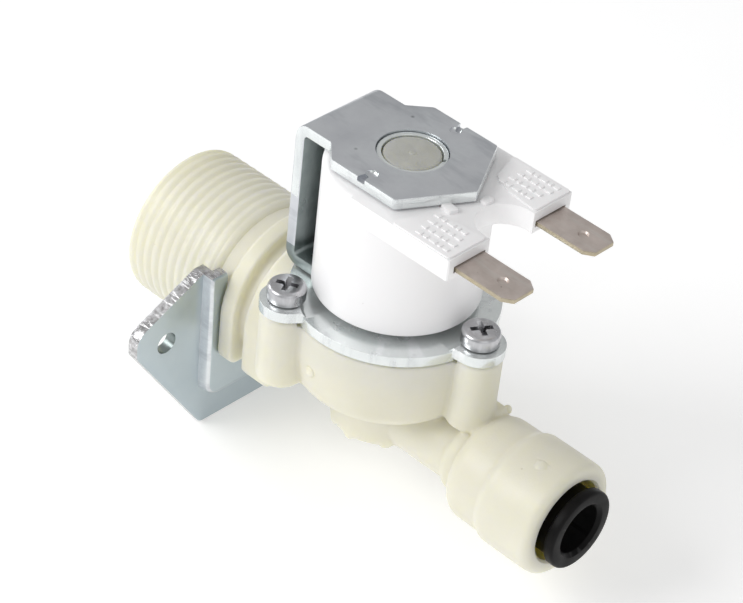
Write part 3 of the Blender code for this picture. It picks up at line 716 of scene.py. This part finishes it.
def makeBracket():
    s = bracketSizes
    top, foot, half, low = s["top"], s["foot"], s["raisedHalf"], s["raisedFoot"]
    outline = softCorners([(-28.7, 1.2, 3.0), (-28.6, -2.7, 1.5), (-14.0, foot, 1.5),
                           (14.0, foot, 1.5), (28.6, -2.7, 1.5), (28.7, 1.2, 3.0),
                           (15.3, top, 1.2), (-15.3, top, 1.2)], steps=6)
    bracket = slab("mountingBracket", outline, s["back"], s["face"], "X")
    raised = slab("raisedPart", softCorners([
        (-half, top), (-half, low, s["corner"]), (half, low, s["corner"]), (half, top)],
        steps=8), s["back"], s["raised"], "X")
    openMesh(raised)                      # the pressed part leans in a little towards its face
    pickVertices(raised, lambda v: v.x > s["face"] + 0.5 and v.z < top - 0.5)
    bpy.ops.transform.resize(value=(1, s["draft"], s["draft"]), center_override=(0, 0, 0))
    pickVertices(raised, lambda v: v.x > s["face"] + 0.5)
    bpy.ops.mesh.bevel(offset=s["pressRadius"] * mm, segments=4, affect="EDGES")
    closeMesh(raised)
    inner, innerLow, wall = half - s["wall"], low + s["wall"], s["raised"] - 2.0
    recess = slab("recess", softCorners([(-inner, top + 1), (-inner, innerLow, 3.5),
                                         (inner, innerLow, 3.5), (inner, top + 1)], steps=8),
                  s["back"] - 1, wall, "X")
    mouth = slab("mouth", [(s["mouth"], top + 1), (-s["mouth"], top + 1)]
                 + arcPoints(0, 0, s["mouth"], 180, 360, 48), s["back"] - 1, s["raised"] + 1, "X")
    combine(bracket, "UNION", raised)
    combine(bracket, "DIFFERENCE", recess, mouth)
    roundEdges(bracket, 0.45, 3, 28)
    y, z, radius = s["hole"]
    for side in (-1, 1):
        combine(bracket, "DIFFERENCE", rod(radius, -30, -20, "X", (0, side * y, z), 48),
                solver="MANIFOLD")

    # the pressed part's side walls take the lighter zinc, a painted reflection
    def pressed(centre, normal):
        return (abs(normal.x) < 0.9 and abs(centre.y) < s["pressedHalf"]
                and s["pressedFoot"] < centre.z < s["pressedTop"])

    def shadedCrease(centre, normal):            # the crease round the pressed part, darkened with painted shade
        return (centre.x < s["face"] + 0.42 and 0.15 < normal.x < 0.95 and abs(centre.y) < 16
                and -19 < centre.z < s["pressedTop"])

    paintFaces(bracket, 1, lambda c, n: abs(n.x) < 0.5 and not pressed(c, n))
    # painted reflection: the pressed part's walls made lighter
    paintFaces(bracket, 2, pressed)
    paintFaces(bracket, 3, shadedCrease)
    # the walls of the two holes are darkened with painted shade
    paintFaces(bracket, 3, lambda c, n: abs(n.x) < 0.5
               and math.hypot(abs(c.y) - y, c.z - z) < radius + 0.2)
    fit(bracket, ["bracket", "shearedEdge", "zinc", "shadedZinc"],
        ["mounting_bracket"], 30)


makeBracket()
print("bracket made")


clampSizes = {"low": 11.4, "high": 13.2, "radius": 16.5, "bore": 7.6, "earLow": 12.1,
              "earHigh": 13.9, "earRadius": 4.1, "screwHole": 2.1}
screwSizes = {"headRadius": 3.05, "headLow": 14.1, "headHigh": 16.6, "shank": 1.8,
              "slotLength": 2.3, "slotWidth": 0.5, "slotDepth": 1.5, "slotTurn": 28}


def makeClampPlate():
    s = clampSizes
    circle = bodySizes["bossCircle"]
    plate = turned("clampPlate", [(s["low"], s["bore"]), (s["low"], s["radius"]),
                                  (s["high"], s["radius"]), (s["high"], s["bore"])], sides=144)
    outline = [(15.3, -4.45), (16.0, -4.3)]
    outline += arcPoints(circle, 0, s["earRadius"], -86, 86, 24) + [(16.0, 4.3), (15.3, 4.45)]
    ears = []
    for degrees in screwAngles:             # each ear steps down into the ring
        ear = slab("ear", outline, s["earLow"], s["earHigh"])
        openMesh(ear)
        bpy.ops.mesh.bisect(plane_co=(16.0 * mm, 0, 0), plane_no=(1, 0, 0))
        pickVertices(ear, lambda v: v.x < 15.6 and v.z > s["earHigh"] - 0.1)
        bpy.ops.transform.translate(value=(0, 0, (s["high"] - s["earHigh"] - 0.1) * mm))
        ears.append(turnAbout(closeMesh(ear), degrees))
    combine(plate, "UNION", *ears)
    roundEdges(plate, 0.28, 3, 40)
    combine(plate, "DIFFERENCE", *[
        rod(s["screwHole"], 10, 16, "Z", (*onCircle(circle, a), 0), 32) for a in screwAngles])
    fit(plate, ["brightZinc"], ["clamp_plate"], 30)


def makeScrews():
    s = screwSizes
    circle, high = bodySizes["bossCircle"], s["headHigh"]
    x, y = onCircle(circle, screwAngles[0])
    groove = [(3.0, 0), (3.0, 1.2), (4.2, 1.45)]
    for k in range(9):                      # thread-forming ridges along the shank
        groove += [(4.5 + k, 1.45), (4.9 + k, s["shank"]), (5.1 + k, s["shank"])]
    screw = turned("clampScrew1", groove + [
        (13.7, 1.45), (13.7, s["shank"]), (s["headLow"], s["shank"]),
        (s["headLow"], s["headRadius"], 0.2), (high - 0.1, s["headRadius"], 0.75),
        (high, 1.2), (high, 0)], centre=(x, y, 0), sides=64)
    for turn in (0, 90):
        arm = brick((-s["slotLength"], -s["slotWidth"], high - s["slotDepth"]),
                    (s["slotLength"], s["slotWidth"], high + 1))
        openMesh(arm)                       # the recess narrows towards its foot
        pickVertices(arm, lambda v: v.z < high)
        bpy.ops.transform.resize(value=(0.45, 0.7, 1), center_override=(0, 0, 0))
        closeMesh(arm)
        turnAbout(arm, s["slotTurn"] + turn)
        combine(screw, "DIFFERENCE", tipTo(arm, 0, (x, y, 0)))
    collar = turned("recessCone", [(high - 1.1, 0), (high - 1.1, 0.55), (high + 0.2, 1.15),
                                   (high + 0.2, 0)], centre=(x, y, 0), sides=4)
    turnAbout(collar, s["slotTurn"], (x, y, 0))
    combine(screw, "DIFFERENCE", collar)
    screws = [screw] + [turnAbout(duplicateOf(screw, f"clampScrew{n}"), 120 * (n - 1))
                        for n in (2, 3)]
    for n, piece in enumerate(screws, 1):
        fit(piece, ["screw"], [f"clamp_screw_{n}"], 30)


makeClampPlate()
makeScrews()
print("clamp plate and screws made")


coilSizes = {"low": 14.45, "high": 37.07, "radius": 13.2, "deckHalf": 13.4, "deckEnd": 20.2,
             "deckFoot": 33.4, "cavity": 12.2, "bore": 5.66, "padRise": 0.28,
             "armHalf": 8.3, "armTop": 15.62}
dashSizes = {"rows": (7.0, 8.7, 10.4, 12.0), "from": 11.4, "count": 5, "width": 0.75,
             "height": 0.18, "gap": 0.42, "lengths": (1.1, 0.7, 1.3, 0.55, 0.95, 0.8)}
yokeSizes = {"sheet": 1.9, "top": 39.27, "foot": 13.5, "back": -16.4, "half": 8.0, "bore": 5.56,
             "bend": 2.6, "shade": 16.9}
bladeSizes = {"y": 8.8, "low": 34.47, "high": 35.27, "half": 3.15, "tip": 30.7, "dimple": 0.62}


# plain raised dashes in rows, where the moulding carries its marks
def makeDashes():
    s, top = dashSizes, coilSizes["high"] + coilSizes["padRise"]
    marks = []
    for side in (-1, 1):
        for row, y in enumerate(s["rows"]):
            x = s["from"] + 0.35 * row
            for k in range(s["count"]):
                length = s["lengths"][(k + 2 * row) % len(s["lengths"])]
                marks.append(brick((x, side * y - s["width"] / 2, top - 0.2),
                                   (x + length, side * y + s["width"] / 2, top + s["height"])))
                x += length + s["gap"]
    return roundEdges(joined(*marks), 0.05, 1)


def makeCoilShell():
    s = coilSizes
    low, high, half, end = s["low"], s["high"], s["deckHalf"], s["deckEnd"]
    shell = turned("coilShell", [(low, 0), (low, s["radius"], 0.5), (high, s["radius"], 1.0),
                                 (high, 0)], sides=160, steps=6)
    deck = slab("deck", [(0.5, -half), (end - 0.2, -half), (end, -half + 0.2), (end, half - 0.2),
                         (end - 0.2, half), (0.5, half)], s["deckFoot"], high)
    bay = slab("bay", [(end + 1, -4.9), (end + 1, 4.9)]
               + arcPoints(19.4, 0, 4.9, 90, 270, 40), s["deckFoot"] - 3, high + 1)
    combine(deck, "DIFFERENCE", bay)
    horns = []
    for side in (-1, 1):                     # the two raised pads that carry the blades
        pad = slab("hornPad", softCorners([(8.6, side * 13.2, 0.5), (end - 0.3, side * 13.2, 0.5),
                                           (end - 0.3, side * 5.3, 0.5),
                                           (14.2, side * 5.9, 1.5), (10.4, side * 7.4, 0.8)]),
                   high - 0.6, high + s["padRise"])
        horns.append(pad)
    combine(shell, "UNION", deck, *horns)
    roundEdges(shell, 0.28, 3, 32)
    lugs = [roundEdges(slab("lug", softCorners(corners), high - 0.4, top), 0.18, 2)
            for corners, top in (
                ([(10.4, -4.9, 0.4), (12.6, -5.3, 0.4), (13.2, -3.6, 0.4), (10.6, -3.3, 0.4)],
                 37.7),
                ([(13.0, 0.6, 0.5), (14.4, 0.5, 0.5), (14.5, 2.6, 0.5), (13.0, 2.6, 0.5)],
                 37.6))]
    combine(shell, "UNION", *lugs, makeDashes())
    cavity = rod(s["cavity"], 15.6, high - 1.6, sides=96)
    bore = rod(s["bore"], low - 1, high + 1)
    arm = brick((-20, -s["armHalf"], low - 1), (0, s["armHalf"], s["armTop"]))
    armEnd = rod(s["armHalf"], low - 1, s["armTop"])
    slots = [brick((13.6, side * bladeSizes["y"] - 3.35, 34.3),
                   (end + 1, side * bladeSizes["y"] + 3.35, 35.45)) for side in (-1, 1)]
    combine(shell, "DIFFERENCE", cavity, bore, arm, armEnd, *slots)
    fit(shell, ["coilPlastic"], ["coil_shell"], 32)


def makeYoke():
    s = yokeSizes
    back, top, foot, sheet, half = s["back"], s["top"], s["foot"], s["sheet"], s["half"]
    outer, inner = s["bend"], s["bend"] - sheet
    section = [(14.0, top)] + arcPoints(back + outer, top - outer, outer, 90, 180, 10)
    section += arcPoints(back + outer, foot + outer, outer, 180, 270, 10)
    section += [(9.0, foot), (9.0, foot + sheet)]
    section += arcPoints(back + outer, foot + outer, inner, 270, 180, 6)
    section += arcPoints(back + outer, top - outer, inner, 180, 90, 6) + [(14.0, top - sheet)]
    yoke = slab("coilYoke", section, -12.0, 12.0, "Y")
    plan = slab("yokePlan", softCorners([
        (-18.0, -half), (-9.2, -half, 0.5), (-6.0, -11.1, 0.6), (7.0, -11.1, 0.6), (13.1, 0, 0.5),
        (7.0, 11.1, 0.6), (-6.0, 11.1, 0.6), (-9.2, half, 0.5), (-18.0, half)]), 26, 42)
    lowerPlan = slab("lowerPlan", [(-18.0, -half), (0, -half)]
                     + arcPoints(0, 0, half, -90, 90, 32)[1:] + [(-18.0, half)], 10, 26)
    combine(plan, "UNION", lowerPlan)
    combine(yoke, "INTERSECT", plan)
    roundEdges(yoke, 0.22, 2, 40)
    # the yoke is cut at the height where its painted shade starts
    openMesh(yoke)
    bpy.ops.mesh.bisect(plane_co=(0, 0, s["shade"] * mm), plane_no=(0, 0, 1))
    closeMesh(yoke)
    cuts = [rod(s["bore"], foot - 1, top + 1, sides=96)]
    for side in (-1, 1):                      # staking slots, each with a round pit at its end
        cuts.append(slab("slot", [(-0.75, side * 11.6), (0.95, side * 11.6), (0.65, side * 9.4),
                                  (-0.1, side * 9.4)], top - 0.8, top + 1))
        cuts.append(dome((0.35, side * 9.0, top + 0.15), 1.0, 0.8, (0, 0, 1)))
    combine(yoke, "DIFFERENCE", *cuts)
    paintFaces(yoke, 1, lambda c, n: abs(n.z) < 0.8 and abs(n.x) < 0.99 and c.xy.length > 6
               and c.z > 36.5 and (abs(n.y) > 0.4 or c.x > 7.0))
    # painted shade: the yoke below the shade height and the arm's inner face take darker zinc
    paintFaces(yoke, 2, lambda c, n: c.z < s["shade"] or (n.x > 0.7 and c.x < -13.5 and c.z < 37.2))
    fit(yoke, ["zinc", "brightZinc", "shadedZinc"], ["yoke"], 30)


def makeTerminals():
    s = bladeSizes
    for side, name in ((-1, "left"), (1, "right")):
        y, half, tip = side * s["y"], s["half"], s["tip"]
        blade = slab("terminal" + name.title(), softCorners([
            (14.0, y - half), (tip - 1.6, y - half, 0.3), (tip, y - half + 1.1, 0.3),
            (tip, y + half - 1.1, 0.3), (tip - 1.6, y + half, 0.3), (14.0, y + half)]),
            s["low"], s["high"])
        roundEdges(blade, 0.14, 2, 40)
        spot = (tip - 4.1, y, 0)
        for face, way in ((s["high"], 1), (s["low"], -1)):    # a dimple in each side
            dimple = turned("dimple", [(face - way * 0.3, 0), (face - way * 0.3, s["dimple"]),
                                       (face + way * 0.1, s["dimple"] + 0.35),
                                       (face + way * 0.1, 0)], centre=spot, sides=32)
            combine(blade, "DIFFERENCE", dimple)
        paintFaces(blade, 1, lambda c, n: abs(n.z) < 0.8
                   and math.hypot(c.x - spot[0], c.y - spot[1]) > 1.3)
        fit(blade, ["tinnedBlade", "bareBrass"], ["terminal_" + name], 30)


makeCoilShell()
makeYoke()
makeTerminals()
print("coil, yoke and terminals made")


tubeSizes = {"outer": 4.5, "bore": 3.7, "top": 38.9, "ceiling": 37.5, "notchTurn": 205}
colletSizes = {"face": 41.6, "flange": 6.74, "bore": 4.2, "sleeve": 5.9}


def makeCoreTube():
    s = tubeSizes
    tube = turned("coreTube", [
        (s["top"] + 0.12, 0), (s["top"] + 0.12, 0.45, 0.2), (s["top"], 0.62, 0.1),
        (s["top"], s["outer"], 0.5), (13.0, s["outer"], 0.4), (13.0, 7.0, 0.3), (11.1, 7.0, 0.3),
        (11.1, 14.7, 0.3), (9.0, 14.7, 0.3), (9.0, 9.4, 0.3), (10.0, 9.2, 0.3),
        (10.0, s["bore"], 0.2), (s["ceiling"], s["bore"], 0.6), (s["ceiling"], 0)])
    fit(tube, ["greyNylon"], ["core_tube"])
    sleeve = turned("upperSleeve", [(28.0, 4.65, 0.1), (28.0, 5.44, 0.1), (38.97, 5.44, 0.18),
                                    (38.97, 4.65, 0.18)])
    notch = brick((-5.2, -0.35, 38.2), (-4.5, 0.35, 39.5))
    combine(sleeve, "DIFFERENCE", turnAbout(notch, s["notchTurn"]))
    fit(sleeve, ["brightZinc"], ["upper_flux_sleeve"])


def makePushFit():
    s = colletSizes
    axis, face, flange = (0, 0, bodySizes["outletAxis"]), s["face"], s["flange"]
    collet = turned("releaseCollet", [
        (34.0, s["bore"]), (34.0, 5.5, 0.3), (34.7, s["sleeve"], 0.2),
        (face - 1.75, s["sleeve"], 0.25), (face - 1.75, flange, 0.35), (face, flange, 0.5),
        (face, s["bore"] + 0.6, 0.2), (face - 0.6, s["bore"], 0.2)], "X", axis, 120)
    combine(collet, "DIFFERENCE", *[         # slits let the collet's inner end grip the tube
        tipTo(brick((33.0, -0.3, 3.5), (36.0, 0.3, 6.5)), 45 + 90 * i, axis) for i in range(4)])
    fit(collet, ["blackPlastic"], ["release_collet"], body="collet")
    ring = turned("tubeSeal", arcPoints(27.1, 5.0, 0.9, 0, 345, 23), "X", axis)
    fit(ring, ["rubber"], ["tube_oring"])
    spacer = turned("spacerRing", [(28.4, 4.3, 0.2), (28.4, 5.8, 0.2), (30.6, 5.8, 0.2),
                                   (30.6, 4.3, 0.2)], "X", axis)
    fit(spacer, ["insert"], ["spacer_ring"])
    grab = turned("grabRing", [(31.3, 6.6), (31.3, 5.2, 0.1), (31.9, 4.3), (32.2, 4.5),
                               (31.7, 5.4, 0.1), (31.7, 6.6)], "X", axis)
    combine(grab, "DIFFERENCE", *[           # gaps between the steel ring's teeth
        tipTo(brick((31.0, -0.3, 4.0), (32.6, 0.3, 5.4)), 30 * i, axis) for i in range(12)])
    fit(grab, ["steel"], ["grab_ring"])


springSizes = {"wire": 0.35, "radius": 1.9, "turns": 6.5, "low": 28.4, "high": 37.1,
               "travel": 2.2}
diaphragmSizes = {"seat": 4.9, "bead": 8.7, "travel": 1.8}


# gives a piece its own copy of its mesh
def squashUp(piece):
    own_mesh(piece)


def makePlungerSpring():
    s = springSizes
    steps = int(s["turns"] * 24)
    points = []
    for k in range(steps + 1):               # the coils lie closer together at both ends
        share = k / steps
        rise = 0.35 * share + 0.65 * share * share * (3 - 2 * share)
        x, y = onCircle(s["radius"], 360 * s["turns"] * share)
        points.append(Vector((x, y, s["low"] + (s["high"] - s["low"]) * rise)) * mm)
    spring = drawLine("plungerSpring", points)
    bpy.ops.object.mode_set(mode="OBJECT")
    bpy.ops.object.convert(target="CURVE")
    spring = bpy.context.object
    spring.data.bevel_depth = s["wire"] * mm
    spring.data.bevel_resolution = 2
    spring.data.use_fill_caps = True
    bpy.ops.object.convert(target="MESH")
    spring = bpy.context.object
    openMesh(spring)
    fit(closeMesh(spring), ["steel"], ["plunger_spring"], 60)
    squashUp(spring)


def makeDiaphragm():
    s = diaphragmSizes
    low, bead = s["seat"], s["bead"]
    rubber = turned("rubberDiaphragm", [
        (low, 3.3, 0.2), (low, 6.6, 0.5), (low - 0.8, 7.6, 0.4), (low - 1.2, 9.0, 0.8),
        (low - 0.6, 10.4, 0.6), (6.9, 11.4, 0.3), (6.9, 14.7, 0.4), (bead, 14.7, 0.4),
        (bead, 12.2, 0.3), (7.8, 11.2, 0.3), (low + 0.9, 10.0, 0.3), (low + 0.3, 9.0, 0.5),
        (low + 0.8, 8.1, 0.3), (low + 1.6, 7.0, 0.3), (low + 1.6, 3.3, 0.2)])
    fit(rubber, ["rubber"], ["diaphragm"])
    squashUp(rubber)


makeCoreTube()
makePushFit()
makePlungerSpring()
makeDiaphragm()
print("core tube and push-fit parts made")


# pieces inside the valve keep their CAD shape and only take a finish
insideKinds = {"diaphragm_insert": "insert", "plunger": "steel", "plunger_seal": "rubber",
               "coil_bobbin": "blackPlastic", "coil_winding": "winding",
               "lower_flux_sleeve": "brightZinc"}
for node, kind in insideKinds.items():
    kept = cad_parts[node]
    for i in range(len(kept.data.materials)):
        kept.data.materials[i] = finish[kind]


stageSizes = {"floor": 1.6, "ambient": 0.60, "glow": 0.28, "floorTints": (0.93, 0.90),
              "sky": ((0.45, (0.66, 0.68, 0.70)), (0.75, (0.9, 0.9, 0.9))),
              "lights": (("keyLight", 3.3, 0.5, (-0.36, -0.62, 0.54), (1, 1, 1)),
                         ("sideLight", 0.9, 0.35, (-0.70, -0.15, 0.30), (0.97, 0.98, 1.0)),
                         ("fillLight", 0.5, 0.6, (0.6, -0.3, 0.35), (1, 1, 1)))}
viewSizes = {"azimuth": 40.29, "elevation": 37.59, "roll": 6.56, "distance": 0.410, "lens": 129.2,
             "lookAt": (0.00014, -0.0029, 0.0344)}


def makeFloor():
    deselect()
    bpy.ops.mesh.primitive_plane_add(size=stageSizes["floor"], location=(0, 0, -0.0002))
    floor = bpy.context.object
    floor.name = "floor"
    material = bpy.data.materials.new("paleFloor")
    material.use_nodes = True
    tree = material.node_tree
    shader = tree.nodes["Principled BSDF"]
    speckle = addNode(tree, "TexNoise")
    speckle.inputs["Scale"].default_value = 40.0
    tree.links.new(addNode(tree, "TexCoord").outputs["Object"], speckle.inputs["Vector"])
    mix = addNode(tree, "Mix", data_type="RGBA")
    for socket, grey in zip("AB", stageSizes["floorTints"]):
        mix.inputs[socket].default_value = colourOf((grey, grey, grey))
    tree.links.new(speckle.outputs["Fac"], mix.inputs["Factor"])
    tree.links.new(mix.outputs["Result"], shader.inputs["Base Color"])
    shader.inputs["Roughness"].default_value = 0.8
    shader.inputs["Emission Color"].default_value = (1, 1, 1, 1)
    shader.inputs["Emission Strength"].default_value = stageSizes["glow"]
    floor.data.materials.append(material)


def makeLight(name, power, size, spot, colour):
    deselect()
    bpy.ops.object.light_add(type="AREA", location=spot)
    lamp = bpy.context.object
    lamp.name = name
    lamp.data.shape = "DISK"
    lamp.data.size = size
    lamp.data.energy = power
    lamp.data.color = colour
    lamp.rotation_euler = (Vector(spot) - Vector((0, 0, 0.03))).to_track_quat("Z", "Y").to_euler()


def makeStudio():
    world = bpy.data.worlds.new("studio")
    bpy.context.scene.world = world
    world.use_nodes = True
    tree = world.node_tree
    sky = tree.nodes["Background"]
    split = addNode(tree, "SeparateXYZ")
    tree.links.new(addNode(tree, "TexCoord").outputs["Generated"], split.inputs["Vector"])
    ramp = addNode(tree, "ValToRGB")
    height = remap(tree, split.outputs["Z"], -1.0, 1.0)
    tree.links.new(height, ramp.inputs["Fac"])
    for stop, (position, rgb) in zip(ramp.color_ramp.elements, stageSizes["sky"]):
        stop.position = position
        stop.color = colourOf(rgb)
    tree.links.new(ramp.outputs["Color"], sky.inputs["Color"])
    sky.inputs["Strength"].default_value = stageSizes["ambient"]
    for light in stageSizes["lights"]:
        makeLight(*light)


def makeCamera():
    s = viewSizes
    azimuth, elevation, roll = (math.radians(s[k]) for k in ("azimuth", "elevation", "roll"))
    across = Vector((math.cos(azimuth), math.sin(azimuth), 0))
    back = Vector((math.sin(azimuth) * math.cos(elevation),
                   -math.cos(azimuth) * math.cos(elevation), math.sin(elevation)))
    up = back.cross(across)
    right = math.cos(roll) * across + math.sin(roll) * up
    upright = back.cross(right)
    deselect()
    bpy.ops.object.camera_add()
    camera = bpy.context.object
    turn = Matrix((right, upright, back)).transposed().to_4x4()
    camera.matrix_world = Matrix.Translation(Vector(s["lookAt"]) + back * s["distance"]) @ turn
    camera.data.lens = s["lens"]
    camera.data.sensor_width = 36
    camera.data.sensor_fit = "HORIZONTAL"
    camera.data.clip_start = 0.01
    bpy.context.scene.camera = camera


makeFloor()
makeStudio()
makeCamera()
bpy.context.scene.view_settings.view_transform = "Standard"
print("floor, light and camera made")
